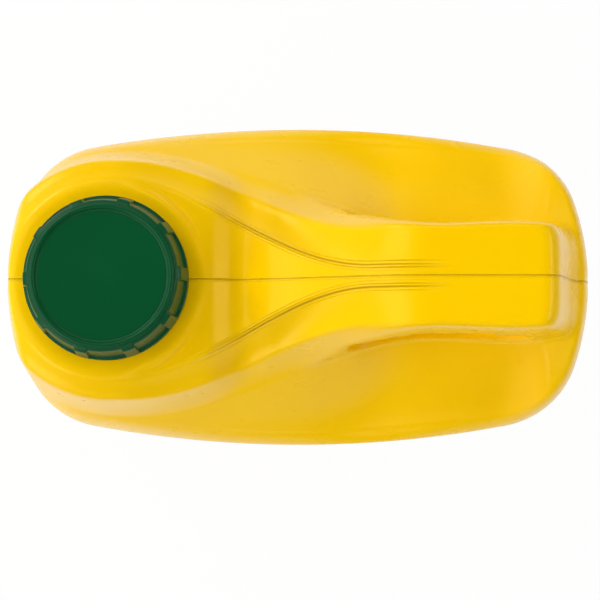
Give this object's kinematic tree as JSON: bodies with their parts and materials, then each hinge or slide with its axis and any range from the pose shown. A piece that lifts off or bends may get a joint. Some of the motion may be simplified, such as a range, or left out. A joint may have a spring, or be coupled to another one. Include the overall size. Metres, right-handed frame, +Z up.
{
  "type": "chemical jerrycan",
  "caption": "Oval plastic jerrycan for liquid chemicals, with a hollow moulded handle, ribbons that sweep from the neck to the handle, and a ribbed screw cap with a tamper band.",
  "frame": {"origin": "middle of the base, on the ground", "axes": "+Z up, -X towards the neck and cap, +X towards the handle's rear end, +Y across the narrow width"},
  "size_m": [0.223, 0.125, 0.286],
  "materials": {
    "body_plastic": "semi-gloss blow-moulded polyethylene",
    "cap_plastic": "satin injection-moulded polyethylene",
    "foam": "closed-cell foam"
  },
  "bodies": {
    "can": {"body": "body_plastic", "tamper_band": "cap_plastic"},
    "liner": {"seal_liner": "foam"},
    "closure": {"cap": "cap_plastic"}
  },
  "joints": [
    {"name": "cap_lift", "type": "slide", "parent": "can", "child": "liner", "axis": [0, 0, 1], "range_m": [0, 0.024]},
    {"name": "cap_turn", "type": "hinge", "parent": "liner", "child": "closure", "pos_m": [-0.0705, 0, 0.27], "axis": [0, 0, 1], "range_deg": [0, 1440]}
  ],
  "couplings": [
    {"joint": "cap_lift", "follows": "cap_turn", "m_per_rad": 0.0009549}
  ]
}
